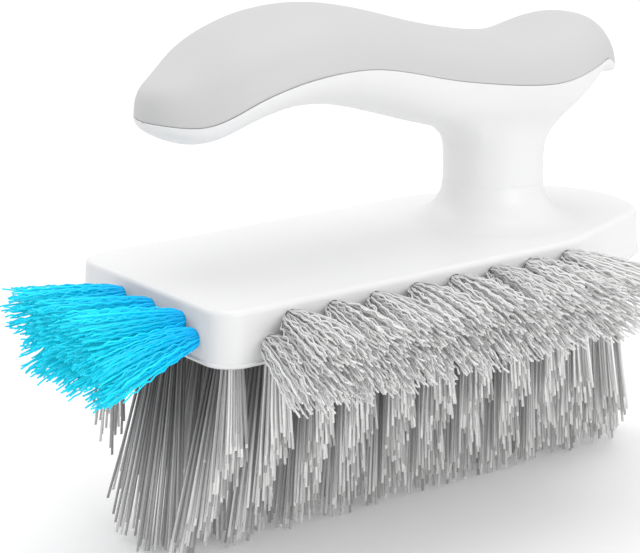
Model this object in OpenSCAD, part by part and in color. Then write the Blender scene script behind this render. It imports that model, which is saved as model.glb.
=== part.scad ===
// Hand-held grout brush: a tufted block, a post, a curved palm handle with a soft
// grip pad, straight tufts below, crimped tufts in the front and one side wall.
// X runs from the front wall to the rear nose, Y = 0 is the middle plane and
// Z = 0 is the plane on which the longest bristle tips stand.

/* [Block] */
// Width of the block between its side walls
block_w = 62; // [54:1:76]
// Thickness of the block at its front
block_t = 13.2; // [12.6:0.1:18]
// Front wall, ahead of the middle tuft
front_x = 66.5; // [66:0.5:72]
// Tip of the rear nose, behind the middle tuft
nose_x = 80; // [78:0.5:84]
// Radius of the two front corners in plan
corner_r = 6; // [5:0.5:10]
// Radius of the rounded rear edge in plan
nose_r = 26; // [22:1:34]
// Radius of the two rear corners in plan
rear_corner_r = 6; // [4:0.5:8]
// Angle by which each side tapers to the nose
taper_angle = 22; // [18:0.5:25]
// Fillet round the top edge
edge_r = 1.5; // [0.8:0.1:2.5]
// Draft by which the wall leans out towards its foot
draft = 1.1; // [0.4:0.1:1.4]
// Height of the thin lip round the bottom edge
lip_h = 0.7; // [0.4:0.1:1.2]
// Height of the bevel under the nose
nose_lift = 2; // [0.2:0.1:2.2]

/* [Post] */
// Post axis, behind the middle tuft
post_x = 38.5; // [35:0.5:41]
// Diameter of the post
post_d = 25.6; // [22:0.2:29]
// Reach and height of the concave foot on the block
foot_r = 10; // [8:0.5:12]
// Diameter of the spigot that carries the post
spigot_d = 17; // [13:0.5:18]
// Height of the spigot above the seam of the foot
spigot_h = 13; // [9:0.5:14]
// Clearance round the spigot
spigot_gap = 0.15; // [0.1:0.05:0.3]

/* [Handle] */
// Front tip of the handle, ahead of the middle tuft
handle_front = 66.5; // [64:0.5:70]
// Length of the handle
handle_l = 144.5; // [142:0.5:150]
// Width of the palm end
palm_w = 43; // [38:0.5:48]
// Width of the shell's front end, before it rounds off
front_end_w = 33; // [28:0.5:38]
// Width of the waist above the post
waist_w = 30; // [28:0.5:34]
// Width of the thumb rest at the rear
thumb_w = 40; // [36:0.5:44]
// Width of the shell's rear end, before it rounds off
rear_end_w = 22; // [18:0.5:28]
// Height of the rim at the front tip, above the block
tip_h = 37.6; // [35:0.2:41]
// Height of the rim at the palm
palm_h = 46.8; // [45:0.2:49]
// Height of the rim at the waist
waist_h = 36.2; // [35:0.2:38]
// Height of the rim at the thumb rest
thumb_h = 40; // [37:0.2:42]
// Rise of the pad above its rim
crown = 12.6; // [10:0.2:15]
// Depth of the shell below its rim at the palm
palm_depth = 8.6; // [7:0.2:11]
// Depth of the shell below its rim above the post
waist_depth = 13.4; // [11:0.2:15]
// Height above the block at which the post starts to flare into the shell
neck_h = 18; // [15:0.5:20]
// Reach of that flare towards the palm
neck_r = 4.5; // [3.5:0.5:6]
// Reach of that flare towards the thumb rest
neck_rear_r = 12; // [8:0.5:14]

/* [Grip pad] */
// Thickness of the soft pad
pad_t = 2.8; // [2:0.1:4]
// Step from the shell's edge in to the pad, which draws the seam
seam_step = 0.4; // [0.2:0.1:0.8]

/* [Bottom tufts] */
// Height of the block's underside above the bristle tips
bristle_l = 52.4; // [48:0.2:62]
// Spacing of the tufts along a row
tuft_spacing = 12; // [11.4:0.1:12.4]
// Spacing of the inner rows from the middle row
row_spacing = 12.5; // [11.5:0.1:12.6]
// Diameter of a tuft in its bore
tuft_d = 5.2; // [4.4:0.1:5.4]
// Depth of a bottom bore
bore_depth = 6; // [5:0.1:6.4]
// Clearance round a tuft in its bore
bore_gap = 0.2; // [0.1:0.05:0.3]
// Half width of the level band along the middle of the trim
trim_flat = 6.5; // [4:0.5:8]
// Rise of the trim for each millimetre further out
trim_slope = 1.3; // [0.8:0.05:1.5]
// Thickness of a strand
strand_d = 1.9; // [1.4:0.1:2.1]
// How far the front tufts lean out along the block, in the middle row
front_lean = 11; // [6:0.5:14]
// How far the rear tufts lean out along the block
rear_lean = 5; // [2:0.5:10]

/* [Wall tufts] */
// Depth of the upper side tufts' axis below the block's top
upper_row = 4.2; // [3.9:0.1:4.4]
// Depth of the lower side tufts' axis below the block's top
lower_row = 9; // [8.8:0.1:9.6]
// Depth of the upper front tufts' axis below the block's top
front_upper_row = 5.2; // [4.8:0.1:5.6]
// Depth of the lower front tufts' axis below the block's top
front_lower_row = 8; // [7.6:0.1:8.4]
// Middle upper front tuft, off the middle plane
front_y = -2; // [-4:0.1:1]
// Sideways shift of the lower front tufts from the upper ones
front_shift = -5.5; // [-6:0.1:-5]
// Diameter of a wall tuft in its bore
wall_tuft_d = 4; // [3.4:0.1:4.2]
// Depth of a wall bore
wall_bore = 4.6; // [4.2:0.1:4.8]
// Spacing of the tufts in the front wall
front_spacing = 12.5; // [12:0.1:13]
// Reach of the crimped strands from the front wall
front_reach = 31; // [24:1:34]
// Reach of the crimped strands from the side wall
side_reach = 22; // [16:1:28]
// Height of the crimp in a wall strand
crimp = 0.8; // [0.3:0.1:1]
// Thickness of a crimped strand
wall_strand_d = 1.1; // [0.8:0.05:1.1]

/* [Anchors] */
// Thickness of the flat anchor that holds a tuft
anchor_t = 0.5; // [0.4:0.1:0.8]
// Width of the anchor along its bore
anchor_w = 1.8; // [1.4:0.1:2.2]

/* [Hidden] */
half_w = block_w / 2;
block_z = bristle_l;
top_z = block_z + block_t;
seam_z = top_z + foot_r;
post_r = post_d / 2;
tuft_r = tuft_d / 2;
bore_r = tuft_r + bore_gap;
wall_tuft_r = wall_tuft_d / 2;
wall_bore_r = wall_tuft_r + bore_gap;
round_fn = 48;
small_fn = 24;
// Web of material left between the front bores and the middle row, and at the taper
web = 0.8;
// Inset of the outer rows' axes from the side walls
outer_inset = 6;
// Angle of the nose arc on each side of the middle plane
nose_half_angle = 36;
// Radius where the sides start to taper
shoulder_r = 30;
// Distance behind the spigot's end to the blind end of its socket
socket_play = 0.3;
// How far the spigot and the strands run into the piece that carries them
sink = 1;
// Gap behind a tuft in its bore, fold of its filaments and play of its anchor
root_gap = 0.2;
fold = 0.8;
anchor_play = 0.1;
// Strands of one bottom tuft, and how far they fan out
bundle_n = 5;
fan = 2.9;
// Outward lean of the outer rows, for each millimetre from the middle plane, and the
// share by which they lean less along the block
side_lean = 0.12;
corner_share = 0.5;
// Strands of one front tuft and one side tuft, and bends of a crimped strand
front_n = 9;
side_n = 7;
steps = 5;
// Growth of a wall tuft from its bore to its tips, sideways and upwards
front_fan = [2.8, 2.6];
side_fan = [2.4, 1];
// Loft of the handle: stations along it, points of each arc and rings of the neck
stations = 40;
arc_n = 12;
neck_steps = 7;

// Points of an arc from angle a0 to a1, with n steps
function arc(cx, cy, r, a0, a1, n) =
    [for (i = [0:n]) let (a = a0 + (a1 - a0) * i / n) [cx + r * cos(a), cy + r * sin(a)]];

// Points between two ends, both left out
function between(p, q, n) = [for (i = [1:n]) p + (q - p) * i / (n + 1)];

// Smooth curve through knots [t, value], flat at both ends
function slope(k, i) = (i <= 0 || i >= len(k) - 1) ? 0
    : (k[i + 1][1] - k[i - 1][1]) / (k[i + 1][0] - k[i - 1][0]);
function span(k, t, i = 0) = (i >= len(k) - 2 || t < k[i + 1][0]) ? i : span(k, t, i + 1);
function curve(k, t) =
    let (i = span(k, t), h = k[i + 1][0] - k[i][0], s = (t - k[i][0]) / h)
    k[i][1] * (1 + 2 * s) * (1 - s) * (1 - s) + h * slope(k, i) * s * (1 - s) * (1 - s)
    + k[i + 1][1] * s * s * (3 - 2 * s) + h * slope(k, i + 1) * s * s * (s - 1);

// Faces of a stack of m rings with n points each, as triangles
function skin(m, n) = [for (j = [0:m - 2]) for (i = [0:n - 1])
    let (a = j * n + i, b = j * n + (i + 1) % n)
    each [[a, b + n, b], [a, a + n, b + n]]];

// Plan outline of one half of the block, from the nose to the front
rear_c = [nose_x - nose_r + (nose_r - rear_corner_r) * cos(nose_half_angle),
    (nose_r - rear_corner_r) * sin(nose_half_angle)];
taper_normal = 90 - taper_angle;
taper_end = rear_c + rear_corner_r * [cos(taper_normal), sin(taper_normal)];
taper_x = taper_end[0] - (half_w - taper_end[1]) / tan(taper_angle);
shoulder_x = taper_x - shoulder_r * tan(taper_angle / 2);
shoulder = arc(shoulder_x, half_w - shoulder_r, shoulder_r, taper_normal, 90, 3);
half_outline = concat(
    arc(nose_x - nose_r, 0, nose_r, 0, nose_half_angle, 4),
    arc(rear_c[0], rear_c[1], rear_corner_r, nose_half_angle + 8, taper_normal, 3),
    between(taper_end, shoulder[0], 5),
    shoulder,
    [for (a = [104:9:158]) [post_x + half_w / tan(a), half_w]],
    arc(corner_r - front_x, half_w - corner_r, corner_r, 90, 180, 7),
    [[-front_x, (half_w - corner_r) / 2], [-front_x, 0]]);
half_n = len(half_outline);
outline = concat(half_outline,
    [for (i = [half_n - 2:-1:1]) [half_outline[i][0], -half_outline[i][1]]]);
outline_n = len(outline);

// Outline moved outwards by d
function outward(i, d) =
    let (a = outline[(i + outline_n - 1) % outline_n], b = outline[(i + 1) % outline_n],
        t = (b - a) / norm(b - a))
    outline[i] + d * [t[1], -t[0]];
// Bevel under the rim: nothing along the sides, growing towards the nose
function lift(i) = outline[i][0] < taper_x ? 0
    : nose_lift * pow((outline[i][0] - taper_x) / (nose_x - taper_x), 2);
// Ring of the wall, d outside the outline and h above the underside. The bevel draws
// it in by the share inset and raises it by the share up.
function block_ring(d, h, inset = 0, up = 0) = [for (i = [0:outline_n - 1])
    let (p = outward(i, d - inset * lift(i)))
    [p[0], p[1], block_z + h + up * lift(i)]];
// Ring round the post, f away from its wall, on the concave foot
function foot_ring(f) = [for (i = [0:outline_n - 1])
    let (v = outline[i] - [post_x, 0], p = [post_x, 0] + v / norm(v) * (post_r + f),
        rise = foot_r * (1 - sqrt(max(0, 1 - pow(1 - f / foot_r, 2)))))
    [p[0], p[1], top_z + rise]];
block_rings = concat(
    [block_ring(draft - lip_h / 2, 0, 1, 0), block_ring(draft, lip_h / 2, 0, 1)],
    [block_ring(draft, lip_h, 0, 1), block_ring(draft / 2, lip_h + 0.3, 0, 1)],
    [block_ring(0, block_t - edge_r)],
    [for (a = [30:30:90]) block_ring(-edge_r * (1 - cos(a)), block_t - edge_r * (1 - sin(a)))],
    [for (f = [1, 0.8, 0.62, 0.46, 0.32, 0.2, 0.1, 0.03, 0]) foot_ring(f * foot_r)]);

// Tuft places: every tuft is [x, y] on the block's underside. The middle row starts
// behind the bores of the front wall, and the outer rows follow the taper.
rows = [-2, -1, 0, 1, 2];
function inset_y(x) = half_w - outer_inset - (x <= taper_x ? 0 : (x - taper_x) * tan(taper_angle) + web);
function row_tufts(r) = abs(r) == 1
    ? [for (i = [-5:5]) [(i + 0.5) * tuft_spacing, r * row_spacing]]
    : r == 0 ? [for (i = [-5:6]) [max(i * tuft_spacing, wall_bore + bore_r + web - front_x), 0]]
    : [for (i = [-5:5]) [i * tuft_spacing, sign(r) * inset_y(i * tuft_spacing)]];
// Wall tufts: places along the wall of the upper (1) and lower (0) row
function front_tufts(u) = [for (i = [-1:1]) (u == 1 ? 0 : front_shift) + front_y + i * front_spacing];
function side_tufts(u) = u == 1 ? [for (i = [-4:3]) i * tuft_spacing]
    : [for (i = [-5:2]) (i + 0.5) * tuft_spacing];
function side_z(u) = top_z - (u == 1 ? upper_row : lower_row);
function front_z(u) = top_z - (u == 1 ? front_upper_row : front_lower_row);

// Trim height of the bristle tips at distance y from the middle plane
function trim(y) = max(0, (abs(y) - trim_flat) * trim_slope);

module block() {
    color("white")
    difference() {
        union() {
            rings = len(block_rings);
            polyhedron(
                points = [for (r = block_rings) each r],
                faces = concat(
                    skin(rings, outline_n),
                    [for (i = [1:outline_n - 2]) [0, i, i + 1]],
                    [for (i = [1:outline_n - 2]) let (b = (rings - 1) * outline_n) [b, b + i + 1, b + i]]),
                convexity = 6);
            translate([post_x, 0, seam_z - sink]) cylinder(h = spigot_h + sink, d = spigot_d, $fn = round_fn);
        }
        for (r = rows) for (p = row_tufts(r))
            translate([p[0], p[1], block_z - 1]) cylinder(h = bore_depth + 1, r = bore_r, $fn = small_fn);
        for (u = [0, 1]) {
            for (y = front_tufts(u))
                translate([-front_x - 2, y, front_z(u)]) rotate([0, 90, 0])
                    cylinder(h = wall_bore + 2, r = wall_bore_r, $fn = small_fn);
            for (x = side_tufts(u))
                translate([x, -half_w - 2, side_z(u)]) rotate([-90, 0, 0])
                    cylinder(h = wall_bore + 2, r = wall_bore_r, $fn = small_fn);
        }
    }
}

// Handle stations run from the front tip, t = 0, to the rear tip, t = 1
function station(i) = (1 - cos(180 * i / stations)) / 2;
function ease(v, reach, e) = sqrt(1 - pow(1 - min(1, v / reach), e));
function tip_round(t) = max(0.025, ease(t, 0.13, 1.9) * ease(1 - t, 0.22, 1.6));
function half_width(t) = tip_round(t) / 2 * curve([[0, front_end_w], [0.28, palm_w],
    [0.64, waist_w], [0.87, thumb_w], [1, rear_end_w]], t);
function rim_z(t) = top_z + curve([[0, tip_h], [0.06, tip_h], [0.14, tip_h * 0.4 + palm_h * 0.6],
    [0.24, palm_h], [0.36, palm_h], [0.58, waist_h * 0.7 + palm_h * 0.3], [0.76, waist_h],
    [0.9, thumb_h], [1, thumb_h * 0.885]], t);
function rise(t) = crown * pow(tip_round(t), 0.6) * curve([[0, 1], [0.33, 1.05], [0.7, 0.95], [1, 1]], t);
function depth(t) = pow(tip_round(t), 0.8) * curve([[0, palm_depth * 0.63], [0.1, palm_depth * 0.9],
    [0.22, palm_depth], [0.36, palm_depth * 1.3], [0.5, waist_depth * 0.93], [0.62, waist_depth],
    [0.8, waist_depth * 1.03], [0.9, waist_depth * 0.51], [1, waist_depth * 0.3]], t);
function bow(v, e) = sign(v) * pow(abs(v), e);

// Cross-section arcs at station t. A dome shrunk by k keeps its seat on the rim and
// draws its tips in by cut along X. The keel is the shell's underside.
function dome(t, k, cut) = [for (i = [0:arc_n]) let (a = 180 * i / arc_n)
    [place_x(t) + cut * (1 - 2 * t), half_width(t) * k * bow(cos(a), 0.85),
        rim_z(t) + rise(t) * k * bow(sin(a), 0.85)]];
function keel(t) = [for (i = [0:arc_n]) let (a = 180 * i / arc_n)
    [place_x(t), half_width(t) * bow(cos(a), 0.9), rim_z(t) - depth(t) * bow(sin(a), 0.9)]];
function place_x(t) = -handle_front + handle_l * t;
function back(v) = [for (i = [len(v) - 1:-1:0]) v[i]];
core_scale = 1 - 2 * pad_t / palm_w;
pad_scale = 1 - 2 * seam_step / palm_w;

// End caps of m sections that are each two arcs, one out and one back
function end_caps(m, n) =
    let (cap = [for (i = [0:n / 2 - 2]) let (a = i, b = i + 1, c = n - 1 - i, d = n - 2 - i)
        each [[a, b, c], [b, d, c]]])
    concat(cap, [for (f = cap) [f[2], f[1], f[0]] + [1, 1, 1] * (m - 1) * n]);

// The shell is open under the waist, from station first to last and between two
// lines of its keel, and its skin runs on from that opening down the neck.
keel_start = arc_n + 3;
side_in = 2;
ring_n = 2 * arc_n + 4;
first = len([for (i = [0:stations]) if (place_x(station(i)) < post_x - post_r - neck_r) i]) - 1;
last = stations + 1
    - len([for (i = [0:stations]) if (place_x(station(i)) > post_x + post_r + neck_rear_r) i]);
low = keel_start + side_in;
high = keel_start + arc_n - side_in;
function mouth() = concat(
    [for (k = [high:-1:low + 1]) first * ring_n + k], [for (i = [first:last - 1]) i * ring_n + low],
    [for (k = [low:high - 1]) last * ring_n + k], [for (i = [last:-1:first + 1]) i * ring_n + high]);
// Neighbour of a point of the mouth's edge, one step in from the edge
function inner(e) = let (i = floor(e / ring_n), k = e % ring_n)
    (i + (i == first ? 1 : i == last ? -1 : 0)) * ring_n + k + (k == low ? 1 : k == high ? -1 : 0);
// Smooth curve from p to q, that leaves p along u and reaches q along v
function blend(p, q, u, v, s) = p * (1 + 2 * s) * pow(1 - s, 2) + u * s * pow(1 - s, 2)
    + q * s * s * (3 - 2 * s) + v * s * s * (s - 1);
function in_mouth(f) = let (i = floor(f[0] / ring_n), k = f[0] % ring_n)
    i >= first && i < last && k >= low && k < high;
module shell() {
    sections = [for (i = [0:stations]) let (t = station(i), r = dome(t, pad_scale, 0))
        concat([r[0]], dome(t, core_scale, pad_t), [r[arc_n]], back(keel(t)))];
    body = [for (r = sections) each r];
    edge = mouth();
    n = len(edge);
    foot = [for (e = edge) let (v = [body[e][0] - post_x, body[e][1]], p = v / norm(v) * post_r)
        [post_x + p[0], p[1], top_z + neck_h]];
    flare = [for (j = [0:neck_steps - 1]) [for (i = [0:n - 1])
        let (p = foot[i], q = body[edge[i]], t = q - body[inner(edge[i])], l = norm(q - p))
        blend(p, q, [0, 0, l], t / norm(t) * l, j / neck_steps)]];
    rings = concat([[for (p = foot) [p[0], p[1], seam_z]]], flare);
    start = len(body);
    top_ring = start + neck_steps * n;
    polyhedron(
        points = concat(body, [for (r = rings) each r]),
        faces = concat(end_caps(stations + 1, ring_n),
            [for (f = skin(stations + 1, ring_n)) if (!in_mouth(f)) f],
            [for (i = [1:n - 2]) [0, i, i + 1] + [1, 1, 1] * start],
            [for (f = skin(neck_steps + 1, n)) f + [1, 1, 1] * start],
            [for (i = [0:n - 1]) let (k = (i + 1) % n)
                each [[top_ring + i, edge[k], top_ring + k], [top_ring + i, edge[i], edge[k]]]]),
        convexity = 8);
}

module handle() {
    color("white")
    difference() {
        shell();
        translate([post_x, 0, seam_z - sink])
            cylinder(h = spigot_h + sink + socket_play, r = spigot_d / 2 + spigot_gap, $fn = round_fn);
    }
}

module grip_pad() {
    color("lightgray")
    polyhedron(
        points = [for (i = [0:stations]) let (t = station(i))
            each concat(dome(t, pad_scale, 0), back(dome(t, core_scale, pad_t)))],
        faces = concat(end_caps(stations + 1, 2 * arc_n + 2), skin(stations + 1, 2 * arc_n + 2)),
        convexity = 8);
}

// Root of a tuft, from its mouth at 0 up into its bore, with the slot for its anchor
module root(r, h) {
    difference() {
        cylinder(h = h - root_gap, r = r, $fn = small_fn);
        anchor(2 * r + 1, h);
    }
}
// Flat anchor that crosses a bore near its blind end, inside the fold of the tuft
module anchor(l, h) {
    translate([-l / 2, -anchor_t / 2, h - root_gap - fold - anchor_w]) cube([l, anchor_t, anchor_w]);
}

// Three-sided strand through rings of three points
module strand(rings) {
    m = len(rings);
    polyhedron(points = [for (r = rings) each r],
        faces = concat([[0, 1, 2]], skin(m, 3), [[2, 1, 0] + [1, 1, 1] * (m - 1) * 3]), convexity = 2);
}
function triangle(c, r) = [for (a = [30, 150, 270]) [c[0] + r * cos(a), c[1] + r * sin(a)]];
function cluster(n, r) = concat([[0, 0]],
    [for (i = [0:n - 2]) let (a = 360 * i / (n - 1)) r * [cos(a), sin(a)]]);

// Straight strands of the tuft at p, which fan out to the trim
module straight_strands(p) {
    ease_off = 1 - corner_share * pow(p[1] / (half_w - outer_inset), 2);
    full = [(p[0] < 0 ? -front_lean * ease_off : rear_lean) * pow(p[0] / front_x, 2), side_lean * p[1]];
    part = 1 - trim(p[1] + full[1]) / block_z;
    for (c = cluster(bundle_n, tuft_r - strand_d / 2)) {
        foot = triangle(p + c, strand_d / 2);
        tip = triangle(p + full * part + c * (1 + (fan - 1) * part), strand_d / 2);
        strand([[for (v = tip) [v[0], v[1], trim(v[1])]], [for (v = foot) [v[0], v[1], block_z + sink]]]);
    }
}

// Crimped strands of a wall tuft: n of them, that reach out along -Z, fan by the
// factors in spread and end shifted by drift, with Y up
module crimped_strands(n, reach, spread, drift) {
    places = cluster(n, wall_tuft_r - wall_strand_d / 2);
    for (i = [0:n - 1])
        strand([for (k = [steps:-1:0]) let (
            s = k / steps,
            c = [places[i][0] * (1 + spread[0] * s), places[i][1] * (1 + spread[1] * s)],
            q = c + drift * pow(s, 1.4) + [0, k % 2 == 1 ? crimp : 0],
            z = k == 0 ? sink : -reach * s * (1 - 0.06 * (i % 3)))
            [for (v = triangle(q, wall_strand_d / 2)) [v[0], v[1], z]]]);
}

module bottom_row(r) {
    color(r == -2 ? "silver" : "gray")
    for (p = row_tufts(r)) {
        translate([p[0], p[1], block_z]) root(tuft_r, bore_depth);
        straight_strands(p);
    }
}
module bottom_anchors(r) {
    color("goldenrod")
    for (p = row_tufts(r))
        translate([p[0], p[1], block_z]) anchor(2 * bore_r - anchor_play, bore_depth);
}

// A place in the front wall, or in the side wall: Z runs into the wall and Y is up
module at_front(y, u) {
    translate([-front_x, y, front_z(u)]) rotate([0, 90, 0]) rotate([0, 0, 90]) children();
}
module at_side(x, u) {
    translate([x, -half_w, side_z(u)]) rotate([-90, 0, 0]) rotate([0, 0, 180]) children();
}

// Drift of a wall tuft's tips: sideways, then up
function front_drift(u) = front_reach * (u == 1 ? [0.05, 0.02] : [0, -0.28]);
function side_drift(x, u) = side_reach * [x > 0 ? -0.27 * pow(x / post_x, 2) : 0, u == 1 ? -0.18 : -0.34];
module front_row(u) {
    color("deepskyblue")
    for (y = front_tufts(u)) at_front(y, u) {
        root(wall_tuft_r, wall_bore);
        crimped_strands(front_n, front_reach, front_fan, front_drift(u));
    }
}
module side_row(u) {
    color("gainsboro")
    for (x = side_tufts(u)) at_side(x, u) {
        root(wall_tuft_r, wall_bore);
        crimped_strands(side_n, side_reach, side_fan, side_drift(x, u));
    }
}
module wall_anchor() {
    color("goldenrod")
    anchor(2 * wall_bore_r - anchor_play, wall_bore);
}
module front_anchors(u) {
    for (y = front_tufts(u)) at_front(y, u) wall_anchor();
}
module side_anchors(u) {
    for (x = side_tufts(u)) at_side(x, u) wall_anchor();
}

block();
handle();
grip_pad();
bottom_row(0);  // bottom_tufts_centre
bottom_row(-1);  // bottom_tufts_near_inner
bottom_row(-2);  // bottom_tufts_near_outer
bottom_row(1);  // bottom_tufts_far_inner
bottom_row(2);  // bottom_tufts_far_outer
front_row(1);  // front_tufts_upper
front_row(0);  // front_tufts_lower
side_row(1);  // side_tufts_upper
side_row(0);  // side_tufts_lower
bottom_anchors(0);  // anchors_centre
bottom_anchors(-1);  // anchors_near_inner
bottom_anchors(-2);  // anchors_near_outer
bottom_anchors(1);  // anchors_far_inner
bottom_anchors(2);  // anchors_far_outer
front_anchors(1);  // anchors_front_upper
front_anchors(0);  // anchors_front_lower
side_anchors(1);  // anchors_side_upper
side_anchors(0);  // anchors_side_lower
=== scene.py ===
import math
import random

import bmesh
import bpy
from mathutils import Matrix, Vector


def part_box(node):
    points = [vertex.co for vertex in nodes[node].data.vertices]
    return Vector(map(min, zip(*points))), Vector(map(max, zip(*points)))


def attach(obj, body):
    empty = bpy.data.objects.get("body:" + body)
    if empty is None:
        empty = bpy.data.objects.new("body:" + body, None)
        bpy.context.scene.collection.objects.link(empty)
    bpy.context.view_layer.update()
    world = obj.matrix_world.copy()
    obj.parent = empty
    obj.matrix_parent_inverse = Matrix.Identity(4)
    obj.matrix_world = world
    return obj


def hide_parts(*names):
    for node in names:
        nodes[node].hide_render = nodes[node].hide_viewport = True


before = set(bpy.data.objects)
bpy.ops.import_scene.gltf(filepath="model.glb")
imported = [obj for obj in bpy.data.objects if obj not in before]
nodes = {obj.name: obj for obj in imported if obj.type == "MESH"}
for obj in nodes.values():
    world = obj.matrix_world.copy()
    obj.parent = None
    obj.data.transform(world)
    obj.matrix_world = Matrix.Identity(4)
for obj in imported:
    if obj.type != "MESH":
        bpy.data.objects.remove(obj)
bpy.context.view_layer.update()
scene = bpy.context.scene
mm = 0.001


# Camera and light

cameraPlan = {
    "target": (-16.6, 0.0, 58.8),  # point in the middle of the picture
    "azimuth": -37.0,
    "elevation": 15.8,
    "distance": 542.8,
    "lens": 125.75,
    "sensorWidth": 36.0,
}


def placeCamera(plan):
    turn, lift = math.radians(plan["azimuth"]), math.radians(plan["elevation"])
    back = Vector((math.sin(turn) * math.cos(lift), -math.cos(turn) * math.cos(lift), math.sin(lift)))
    data = bpy.data.cameras.new("camera")
    data.lens = plan["lens"]
    data.sensor_width = plan["sensorWidth"]
    data.sensor_fit = "HORIZONTAL"
    camera = bpy.data.objects.new("camera", data)
    scene.collection.objects.link(camera)
    camera.location = (Vector(plan["target"]) + back * plan["distance"]) * mm
    camera.rotation_euler = back.to_track_quat("Z", "Y").to_euler()
    scene.camera = camera
    print("camera placed")


softBoxes = [  # place and size in metres, power in watts
    {"name": "topBox", "place": (0.05, 0.10, 1.10), "size": 0.9, "power": 3.3},
    {"name": "backBox", "place": (-0.30, 0.85, 0.72), "size": 0.6, "power": 1.3},
    {"name": "nearBox", "place": (0.10, -1.10, 0.28), "size": 0.7, "power": 3.5},
]
lampAim = Vector((0, 0, 0.06))
surround = {"fill": 0.785, "seen": 1.0}  # strength as light, and as the camera and reflections see it


def hangLights(boxes, plan):
    for box in boxes:
        data = bpy.data.lights.new(box["name"], "AREA")
        data.shape = "SQUARE"
        data.size = box["size"]
        data.energy = box["power"]
        lamp = bpy.data.objects.new(box["name"], data)
        scene.collection.objects.link(lamp)
        lamp.location = box["place"]
        lamp.rotation_euler = (Vector(box["place"]) - lampAim).to_track_quat("Z", "Y").to_euler()
    world = bpy.data.worlds.new("studio")
    scene.world = world
    world.use_nodes = True
    tree = world.node_tree
    tree.nodes.clear()
    out = tree.nodes.new("ShaderNodeOutputWorld")
    mix = tree.nodes.new("ShaderNodeMixShader")
    fill = tree.nodes.new("ShaderNodeBackground")
    white = tree.nodes.new("ShaderNodeBackground")
    fill.inputs["Color"].default_value = (1, 1, 1, 1)
    fill.inputs["Strength"].default_value = plan["fill"]
    white.inputs["Color"].default_value = (1, 1, 1, 1)
    white.inputs["Strength"].default_value = plan["seen"]
    path = tree.nodes.new("ShaderNodeLightPath")
    seen = tree.nodes.new("ShaderNodeMath")
    seen.operation = "MAXIMUM"
    tree.links.new(path.outputs["Is Camera Ray"], seen.inputs[0])
    tree.links.new(path.outputs["Is Glossy Ray"], seen.inputs[1])
    tree.links.new(seen.outputs[0], mix.inputs[0])
    tree.links.new(fill.outputs[0], mix.inputs[1])
    tree.links.new(white.outputs[0], mix.inputs[2])
    tree.links.new(mix.outputs[0], out.inputs["Surface"])
    print("lights hung")


# Materials

def newGroup(name, inputs, outputs):
    group = bpy.data.node_groups.new(name, "ShaderNodeTree")
    for direction, labels in (("INPUT", inputs), ("OUTPUT", outputs)):
        for label in labels:
            group.interface.new_socket(label, in_out=direction, socket_type="NodeSocketFloat")
    return group, group.nodes.new("NodeGroupInput"), group.nodes.new("NodeGroupOutput")


grainPlan = {"broadScale": 22.0, "broadDetail": 3.0, "fineDetail": 2.0, "shadeBase": 0.5}


def mouldedSurface(plan):  # fine waviness and mottling of a moulded surface
    group, into, out = newGroup("mouldedSurface", ("Scale", "Tone", "Roughness", "Spread"),
        ("Shade", "Roughness", "Height"))
    place = group.nodes.new("ShaderNodeTexCoord")
    fine = group.nodes.new("ShaderNodeTexNoise")
    broad = group.nodes.new("ShaderNodeTexNoise")
    broad.inputs["Scale"].default_value = plan["broadScale"]
    broad.inputs["Detail"].default_value = plan["broadDetail"]
    fine.inputs["Detail"].default_value = plan["fineDetail"]
    group.links.new(place.outputs["Object"], fine.inputs["Vector"])
    group.links.new(place.outputs["Object"], broad.inputs["Vector"])
    group.links.new(into.outputs["Scale"], fine.inputs["Scale"])
    shade = group.nodes.new("ShaderNodeMath")
    shade.operation = "MULTIPLY_ADD"
    group.links.new(broad.outputs["Fac"], shade.inputs[0])
    group.links.new(into.outputs["Tone"], shade.inputs[1])
    shade.inputs[2].default_value = plan["shadeBase"]
    rough = group.nodes.new("ShaderNodeMath")
    rough.operation = "MULTIPLY_ADD"
    group.links.new(broad.outputs["Fac"], rough.inputs[0])
    group.links.new(into.outputs["Spread"], rough.inputs[1])
    group.links.new(into.outputs["Roughness"], rough.inputs[2])
    group.links.new(shade.outputs[0], out.inputs["Shade"])
    group.links.new(rough.outputs[0], out.inputs["Roughness"])
    group.links.new(fine.outputs["Fac"], out.inputs["Height"])
    return group


grain = mouldedSurface(grainPlan)


def newMaterial(name):
    material = bpy.data.materials.new(name)
    material.use_nodes = True
    tree = material.node_tree
    return material, tree, tree.nodes["Principled BSDF"]


plasticPlan = {"tone": 0.5, "spread": 0.06, "bumpDepth": 0.1, "coatRoughness": 0.12}  # depth in millimetres


def mouldedPlastic(name, dark, light, roughness, grainScale, bump, coat=0.0, metal=0.0):
    material, tree, shader = newMaterial(name)
    surface = tree.nodes.new("ShaderNodeGroup")
    surface.node_tree = grain
    surface.inputs["Scale"].default_value = grainScale
    surface.inputs["Tone"].default_value = plasticPlan["tone"]
    surface.inputs["Roughness"].default_value = roughness
    surface.inputs["Spread"].default_value = plasticPlan["spread"]
    mix = tree.nodes.new("ShaderNodeMix")
    mix.data_type = "RGBA"
    mix.inputs["A"].default_value = (*dark, 1)
    mix.inputs["B"].default_value = (*light, 1)
    tree.links.new(surface.outputs["Shade"], mix.inputs["Factor"])
    tree.links.new(mix.outputs["Result"], shader.inputs["Base Color"])
    tree.links.new(surface.outputs["Roughness"], shader.inputs["Roughness"])
    height = tree.nodes.new("ShaderNodeBump")
    height.inputs["Strength"].default_value = bump
    height.inputs["Distance"].default_value = plasticPlan["bumpDepth"] * mm
    tree.links.new(surface.outputs["Height"], height.inputs["Height"])
    tree.links.new(height.outputs["Normal"], shader.inputs["Normal"])
    shader.inputs["Coat Weight"].default_value = coat
    shader.inputs["Coat Roughness"].default_value = plasticPlan["coatRoughness"]
    shader.inputs["Metallic"].default_value = metal
    return material


filamentPlan = {"bodyPlace": 0.45, "spill": 0.5, "shine": 0.35}  # spill: share of tint cast on the rest


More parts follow.
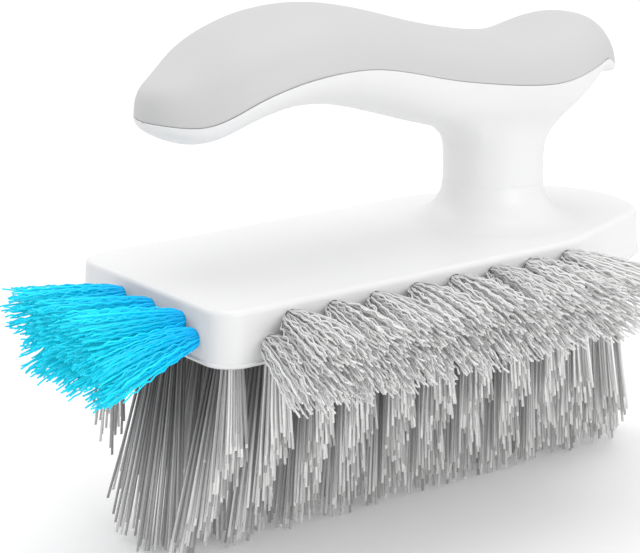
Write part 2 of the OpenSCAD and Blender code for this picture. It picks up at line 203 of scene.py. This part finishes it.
def filamentMaterial(name, root, body, tip, roughness, contrast, glow):
    material, tree, shader = newMaterial(name)
    along = tree.nodes.new("ShaderNodeAttribute")
    along.attribute_name = "along"
    tone = tree.nodes.new("ShaderNodeAttribute")
    tone.attribute_name = "tone"
    # colour along the strand: painted shade at the root, the filament's own colour in the body, painted
    # light at the tip
    ramp = tree.nodes.new("ShaderNodeValToRGB")
    ramp.color_ramp.elements[0].color = (*root, 1)
    ramp.color_ramp.elements[1].color = (*tip, 1)
    ramp.color_ramp.elements.new(filamentPlan["bodyPlace"]).color = (*body, 1)
    tree.links.new(along.outputs["Fac"], ramp.inputs["Fac"])
    change = tree.nodes.new("ShaderNodeMath")
    change.operation = "MULTIPLY_ADD"
    change.inputs[1].default_value = -contrast
    change.inputs[2].default_value = 1.0
    tree.links.new(tone.outputs["Fac"], change.inputs[0])
    tint = tree.nodes.new("ShaderNodeHueSaturation")
    tree.links.new(change.outputs[0], tint.inputs["Value"])
    tree.links.new(ramp.outputs["Color"], tint.inputs["Color"])
    tree.links.new(tint.outputs["Color"], shader.inputs["Base Color"])
    path = tree.nodes.new("ShaderNodeLightPath")
    paintedGlow = (shader.inputs["Emission Strength"], glow, 0.0)  # painted glow, seen only by the camera, standing in for light that passes through the filament
    casting = (tint.inputs["Saturation"], 1 - filamentPlan["spill"], filamentPlan["spill"])
    for target, gain, base in (paintedGlow, casting):
        step = tree.nodes.new("ShaderNodeMath")
        step.operation = "MULTIPLY_ADD"
        step.inputs[1].default_value = gain
        step.inputs[2].default_value = base
        tree.links.new(path.outputs["Is Camera Ray"], step.inputs[0])
        tree.links.new(step.outputs[0], target)
    tree.links.new(tint.outputs["Color"], shader.inputs["Emission Color"])
    shader.inputs["Roughness"].default_value = roughness
    shader.inputs["Specular IOR Level"].default_value = filamentPlan["shine"]
    return material


whitePlastic = {"dark": (0.84, 0.84, 0.845), "light": (0.88, 0.88, 0.885), "roughness": 0.33,
    "grainScale": 420.0, "bump": 0.10, "coat": 0.08}
blockWhite = mouldedPlastic("blockWhite", **whitePlastic)
shellWhite = mouldedPlastic("shellWhite", **whitePlastic)
padGrey = mouldedPlastic("padGrey", dark=(0.57, 0.57, 0.57), light=(0.62, 0.62, 0.62), roughness=0.52,
    grainScale=900.0, bump=0.35)
anchorWire = mouldedPlastic("anchorWire", dark=(0.55, 0.40, 0.20), light=(0.66, 0.50, 0.26), roughness=0.35,
    grainScale=900.0, bump=0.2, metal=1.0)
# root colours are painted shade at the roots, tip colours are painted light at the tips
greyFilament = filamentMaterial("greyFilament", root=(0.08, 0.08, 0.082), body=(0.82, 0.82, 0.825),
    tip=(1.0, 1.0, 0.99), roughness=0.40, contrast=0.6, glow=0.18)
blueFilament = filamentMaterial("blueFilament", root=(0.0, 0.42, 0.92), body=(0.0, 0.62, 1.0),
    tip=(0.01, 0.76, 1.0), roughness=0.38, contrast=0.3, glow=0.43)
paleFilament = filamentMaterial("paleFilament", root=(0.66, 0.66, 0.66), body=(0.88, 0.88, 0.875),
    tip=(0.92, 0.92, 0.915), roughness=0.42, contrast=0.3, glow=0.12)
print("materials made")


# Floor

floorPlan = {"side": 9.0, "drop": 0.0002, "colour": 0.86, "roughness": 0.9, "shine": 0.1, "glow": 0.2}


def layFloor(plan):
    mesh = bpy.data.meshes.new("floor")
    made = bmesh.new()
    bmesh.ops.create_grid(made, x_segments=1, y_segments=1, size=plan["side"] / 2)
    bmesh.ops.translate(made, verts=made.verts, vec=(0, 0, -plan["drop"]))
    made.to_mesh(mesh)
    made.free()
    floor = bpy.data.objects.new("floor", mesh)
    scene.collection.objects.link(floor)
    material, tree, shader = newMaterial("paleFloor")
    shader.inputs["Base Color"].default_value = (plan["colour"],) * 3 + (1,)
    shader.inputs["Roughness"].default_value = plan["roughness"]
    shader.inputs["Specular IOR Level"].default_value = plan["shine"]
    glow = tree.nodes.new("ShaderNodeEmission")
    glow.inputs["Strength"].default_value = plan["glow"]
    add = tree.nodes.new("ShaderNodeAddShader")
    both = tree.nodes.new("ShaderNodeMixShader")
    path = tree.nodes.new("ShaderNodeLightPath")
    out = tree.nodes["Material Output"]
    tree.links.new(shader.outputs[0], add.inputs[0])
    tree.links.new(glow.outputs[0], add.inputs[1])
    tree.links.new(path.outputs["Is Camera Ray"], both.inputs[0])
    tree.links.new(shader.outputs[0], both.inputs[1])
    tree.links.new(add.outputs[0], both.inputs[2])
    tree.links.new(both.outputs[0], out.inputs["Surface"])
    mesh.materials.append(material)
    print("floor laid")


# Block, handle shell and grip pad

def addPiece(name, mesh, material, slot, *replaced):
    piece = bpy.data.objects.new(name, mesh)
    scene.collection.objects.link(piece)
    mesh.materials.clear()
    mesh.materials.append(material)
    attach(piece, "root")
    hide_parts(*replaced)
    return piece


mouldings = {
    "block": {"name": "tuftedBlock", "slot": "block_plastic", "sharp": 50, "soften": 0.0, "levels": 0},
    "handle": {"name": "handleShell", "slot": "shell_plastic", "sharp": 40, "soften": 0.0, "levels": 1},
    "grip_pad": {"name": "gripPad", "slot": "pad_rubber", "sharp": 50, "soften": 0.4, "levels": 1},
}
meshPlan = {"weld": 0.01, "flat": 0.3, "fold": 35, "skew": 60, "rimSteps": 2}  # weld in mm, then degrees


def welded(mesh):
    work = bmesh.new()
    work.from_mesh(mesh)
    bmesh.ops.remove_doubles(work, verts=work.verts, dist=meshPlan["weld"] * mm)
    return work


rearEnd = {"start": 63.5, "tip": 78.0, "widen": 0.95, "shorten": 2.0}


def fillOutEnd(work, plan):  # a fuller rear end for shell and pad, as in the photograph
    for vert in work.verts:
        t = (vert.co.x / mm - plan["start"]) / (plan["tip"] - plan["start"])
        if t > 0:
            vert.co.y *= 1 + plan["widen"] * t * t
            vert.co.x -= plan["shorten"] * t * t * mm


padTips = {"face": 0.05, "slitDepth": 2, "halfWidth": 0.6}


def closeTips(work, plan):  # shuts the tiny slit where the skin of the pad turns in at each tip
    for x in [pick(v.co.x for v in work.verts) for pick in (min, max)]:
        outer = {v for v in work.verts if abs(v.co.x - x) < plan["face"] * mm}
        slit = []
        for face in work.faces:
            deep = max(abs(v.co.x - x) for v in face.verts) > plan["slitDepth"] * mm
            narrow = max(abs(v.co.y) for v in face.verts) < plan["halfWidth"] * mm
            if deep and narrow and outer & set(face.verts):
                slit.append(face)
        inner = {v for face in slit for v in face.verts} - outer
        outer, inner = (sorted(ring, key=lambda v: v.co.y) for ring in (outer, inner))
        bmesh.ops.delete(work, geom=slit, context="FACES")
        work.faces.new(outer)
        work.faces.new(inner)
        work.faces.new([outer[0], outer[-1], inner[-1], inner[0]])
    bmesh.ops.recalc_face_normals(work, faces=work.faces)


def finishMoulding(node, material):
    plan = mouldings[node]
    mesh = nodes[node].data.copy()
    mesh.name = plan["name"]
    work = welded(mesh)
    sharp = math.radians(plan["sharp"])

    def hard(edge):
        return len(edge.link_faces) == 2 and edge.calc_face_angle() > sharp

    if node == "grip_pad":
        closeTips(work, padTips)
    if node != "block":
        fillOutEnd(work, rearEnd)
    if plan["levels"]:
        bmesh.ops.join_triangles(work, faces=work.faces,
            angle_face_threshold=math.radians(meshPlan["fold"]),
            angle_shape_threshold=math.radians(meshPlan["skew"]))
    else:
        bmesh.ops.dissolve_limit(work, verts=work.verts, edges=work.edges,
            angle_limit=math.radians(meshPlan["flat"]))
    if plan["soften"]:
        rim = [e for e in work.edges if hard(e)]
        bmesh.ops.bevel(work, geom=rim, offset=plan["soften"] * mm, offset_type="OFFSET",
            segments=meshPlan["rimSteps"], profile=0.5, affect="EDGES", clamp_overlap=True, material=-1)
    for edge in work.edges:
        edge.smooth = not hard(edge)
    if plan["levels"]:
        crease = work.edges.layers.float.new("crease_edge")
        for edge in work.edges:
            edge[crease] = 0.0 if edge.smooth else 1.0
    for face in work.faces:
        face.smooth = True
    work.to_mesh(mesh)
    work.free()
    piece = addPiece(plan["name"], mesh, material, plan["slot"], node)
    if plan["levels"]:
        rounder = piece.modifiers.new("rounder", "SUBSURF")
        rounder.levels = rounder.render_levels = plan["levels"]
    else:
        piece.modifiers.new("flats", "WEIGHTED_NORMAL").keep_sharp = True
    print(plan["name"], "finished")


# Tufts of filaments

def tuftPlaces(node):  # centre of each anchor, in millimetres
    work = welded(nodes[node].data)
    left, places = set(work.verts), []
    while left:
        anchor, queue = set(), [left.pop()]
        while queue:
            vert = queue.pop()
            anchor.add(vert)
            for link in vert.link_edges:
                other = link.other_vert(vert)
                if other in left:
                    left.discard(other)
                    queue.append(other)
        places.append(sum((v.co for v in anchor), Vector()) / len(anchor) / mm)
    work.free()
    return sorted(places, key=lambda p: (round(p.x, 2), round(p.y, 2)))


goldenTurn = 2.39996
wobble = 0.15


def sunflower(count, radius, dice):  # even places on a disc, a little disturbed
    for i in range(count):
        reach = radius * math.sqrt((i + 0.5) / count)
        turn = i * goldenTurn + dice.uniform(-wobble, wobble)
        yield reach * math.cos(turn), reach * math.sin(turn)


corners = 3  # of a strand's section


# Every strand is a list of points in millimetres. Start and power set how soon it leaves the painted shade
# of its root colour.
def drawStrands(name, strands, thick, start=0.0, power=1.0):
    section = bpy.data.curves.new(name + "Section", "CURVE")
    section.dimensions = "2D"
    loop = section.splines.new("POLY")
    loop.points.add(corners - 1)
    for k in range(corners):
        turn = math.radians(90 + 360 * k / corners)
        loop.points[k].co = (thick / 2 * mm * math.cos(turn), thick / 2 * mm * math.sin(turn), 0, 1)
    loop.use_cyclic_u = True
    sectionObject = bpy.data.objects.new(name + "Section", section)
    scene.collection.objects.link(sectionObject)
    curve = bpy.data.curves.new(name + "Curve", "CURVE")
    curve.dimensions = "3D"
    curve.bevel_mode = "OBJECT"
    curve.bevel_object = sectionObject
    for points in strands:
        spline = curve.splines.new("POLY")
        spline.points.add(len(points) - 1)
        flat = []
        for p in points:
            flat.extend((p[0] * mm, p[1] * mm, p[2] * mm, 1.0))
        spline.points.foreach_set("co", flat)
    holder = bpy.data.objects.new(name + "Curve", curve)
    scene.collection.objects.link(holder)
    bpy.context.view_layer.update()
    mesh = bpy.data.meshes.new_from_object(holder.evaluated_get(bpy.context.evaluated_depsgraph_get()))
    mesh.name = name
    work = bmesh.new()
    work.from_mesh(mesh)
    bmesh.ops.holes_fill(work, edges=[e for e in work.edges if e.is_boundary], sides=corners)
    work.to_mesh(mesh)
    work.free()
    bpy.data.objects.remove(holder)
    bpy.data.objects.remove(sectionObject)
    dice = random.Random(len(strands))
    along, tone = [], []
    for points in strands:
        shade = dice.random()
        for k in range(len(points)):
            along.extend([start + (1 - start) * (k / (len(points) - 1)) ** power] * corners)
            tone.extend([shade] * corners)
    if len(along) != len(mesh.vertices):
        raise ValueError(name + " has an unexpected number of points")
    for label, values in (("along", along), ("tone", tone)):
        mesh.attributes.new(label, "FLOAT", "POINT").data.foreach_set("value", values)
    mesh.polygons.foreach_set("use_smooth", [True] * len(mesh.polygons))
    return mesh


bottomPlan = {
    "count": 38, "radius": 2.4, "thick": 0.78, "sink": 4.0, "fan": 2.6,
    "frontLean": {"centre": 8.0, "inner": 18.0, "outer": 5.0}, "rearLean": 5.0, "sideLean": 0.12,
    "level": 10.0, "slope": 1.45,  # the tips lie flat this far from the middle, then rise
    "floorGap": 0.1, "ragged": 2.4, "raggedPower": 3, "stray": 0.4, "bow": 0.18, "steps": (0.34, 0.67, 1.0),
    # painted shade: start and power of the dark root colour, which inner rows keep further down
    "shade": {"outer": (0.3, 1.0), "inner": (0.0, 2.8)},
}


def bottomStrands(node, plan, seed):
    dice = random.Random(seed)
    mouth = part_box("block")[0].z / mm
    front = -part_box("block")[0].x / mm
    strands = []
    for place in tuftPlaces(node):
        lean = -plan["frontLean"][node.split("_")[-1]] if place.x < 0 else plan["rearLean"]
        leanX = lean * (place.x / front) ** 2
        for a, b in sunflower(plan["count"], plan["radius"], dice):
            tipX = place.x + leanX + a * plan["fan"] + dice.gauss(0, plan["stray"])
            tipY = place.y * (1 + plan["sideLean"]) + b * plan["fan"] + dice.gauss(0, plan["stray"])
            cut = plan["floorGap"] + max(0, (abs(tipY) - plan["level"]) * plan["slope"])
            tipZ = cut + plan["ragged"] * dice.random() ** plan["raggedPower"]
            share = 1 - tipZ / mouth
            bow = (dice.gauss(0, plan["bow"]), dice.gauss(0, plan["bow"]))
            points = [(place.x + a, place.y + b, mouth + plan["sink"]), (place.x + a, place.y + b, mouth)]
            for s in plan["steps"]:
                swell = 4 * s * (1 - s)  # nothing at both ends, 1 halfway
                points.append((place.x + a + (tipX - place.x - a) * s * share + bow[0] * swell,
                    place.y + b + (tipY - place.y - b) * s * share + bow[1] * swell,
                    mouth + (tipZ - mouth) * s))
            strands.append(points)
    return strands


crimpShared = {
    "radius": 1.9, "sink": 3.0, "shortPower": 1.5, "bendPower": 1.6, "waveRise": 5,
    "acrossShare": (0.85, 1.1), "upShare": (0.8, 1.1), "sweepReach": 38.5,
}
crimpPlan = {
    "front": {**crimpShared, "out": (-1, 0, 0), "wall": 66.5, "count": 130, "thick": 0.46,
        "reach": 28.1, "short": 0.2, "fanAcross": 3.9, "fanUp": 3.4, "open": 0.62, "wave": (3.2, 5.2),
        "swing": (0.15, 0.45), "points": 18, "drift": {"upper": (-1.5, -0.4), "lower": (0.0, -5.8)},
        "sweep": 0.0, "strays": 5, "strayFall": 4.0},
    "side": {**crimpShared, "out": (0, -1, 0), "wall": 31.0, "count": 84, "thick": 0.55,
        "reach": 21.7, "short": 0.25, "fanAcross": 5.2, "fanUp": 2.3, "open": 0.55, "wave": (3.2, 5.6),
        "swing": (0.15, 0.5), "points": 16, "drift": {"upper": (0.0, -4.0), "lower": (0.0, -7.5)},
        "sweep": 9.0, "strays": 3, "strayFall": 2.5},
}
crimpSeed = 20


def crimpedStrands(node, plan, drift, seed):
    dice = random.Random(seed)
    out = Vector(plan["out"])
    across = Vector((-out.y, out.x, 0))
    up = Vector((0, 0, 1))
    strands = []
    for place in tuftPlaces(node):
        mouth = place + out * (plan["wall"] - out.dot(place))
        sweep = plan["sweep"] * (max(0, place.x) / plan["sweepReach"]) ** 2
        for i, (a, b) in enumerate(sunflower(plan["count"], plan["radius"], dice)):
            length = plan["reach"] * (1 - plan["short"] * dice.random() ** plan["shortPower"])
            fall = drift[1] - (plan["strayFall"] * dice.random() if i < plan["strays"] else 0)
            period, swing = dice.uniform(*plan["wave"]), dice.uniform(*plan["swing"])
            endA = a * plan["fanAcross"] * dice.uniform(*plan["acrossShare"])
            endB = b * plan["fanUp"] * dice.uniform(*plan["upShare"])
            turn, phase = dice.uniform(0, math.pi), dice.uniform(0, 2 * math.pi)
            points = [mouth - out * plan["sink"] + across * a + up * b]
            for k in range(plan["points"] + 1):
                s = k / plan["points"]
                spread, bend = s ** plan["open"], s ** plan["bendPower"]
                grown = min(1, s * plan["waveRise"])
                wave = swing * grown * math.sin(2 * math.pi * s * length / period + phase)
                sideways = a + (endA - a) * spread + (drift[0] + sweep) * bend + wave * math.cos(turn)
                upwards = b + (endB - b) * spread + fall * bend + wave * math.sin(turn)
                here = mouth + out * (length * s)
                here += across * sideways
                here += up * upwards
                points.append(here)
            strands.append(points)
    return strands


placeCamera(cameraPlan)
hangLights(softBoxes, surround)
layFloor(floorPlan)
finishMoulding("block", blockWhite)
finishMoulding("handle", shellWhite)
finishMoulding("grip_pad", padGrey)

for seed, side in enumerate(("centre", "near_inner", "near_outer", "far_inner", "far_outer")):
    name = "bottomFilaments" + side.title().replace("_", "")
    strands = bottomStrands("anchors_" + side, bottomPlan, seed)
    row = "outer" if side.endswith("outer") else "inner"
    shade = bottomPlan["shade"][row]  # inner rows keep the painted root shade further down
    mesh = drawStrands(name, strands, bottomPlan["thick"], *shade)
    addPiece(name, mesh, greyFilament, "bottom_filament", "bottom_tufts_" + side)
print("bottom filaments drawn")

for side, material in (("front", blueFilament), ("side", paleFilament)):
    plan = crimpPlan[side]
    for seed, (level, drift) in enumerate(plan["drift"].items(), start=crimpSeed):
        name = side + "Filaments" + level.title()
        strands = crimpedStrands("anchors_" + side + "_" + level, plan, drift, seed)
        mesh = drawStrands(name, strands, plan["thick"])
        addPiece(name, mesh, material, side + "_filament", side + "_tufts_" + level)
print("crimped filaments drawn")

for node, part in nodes.items():
    if node.startswith("anchors"):
        part.data.materials.clear()
        part.data.materials.append(anchorWire)
print("anchors finished")

scene.view_settings.view_transform = "Standard"
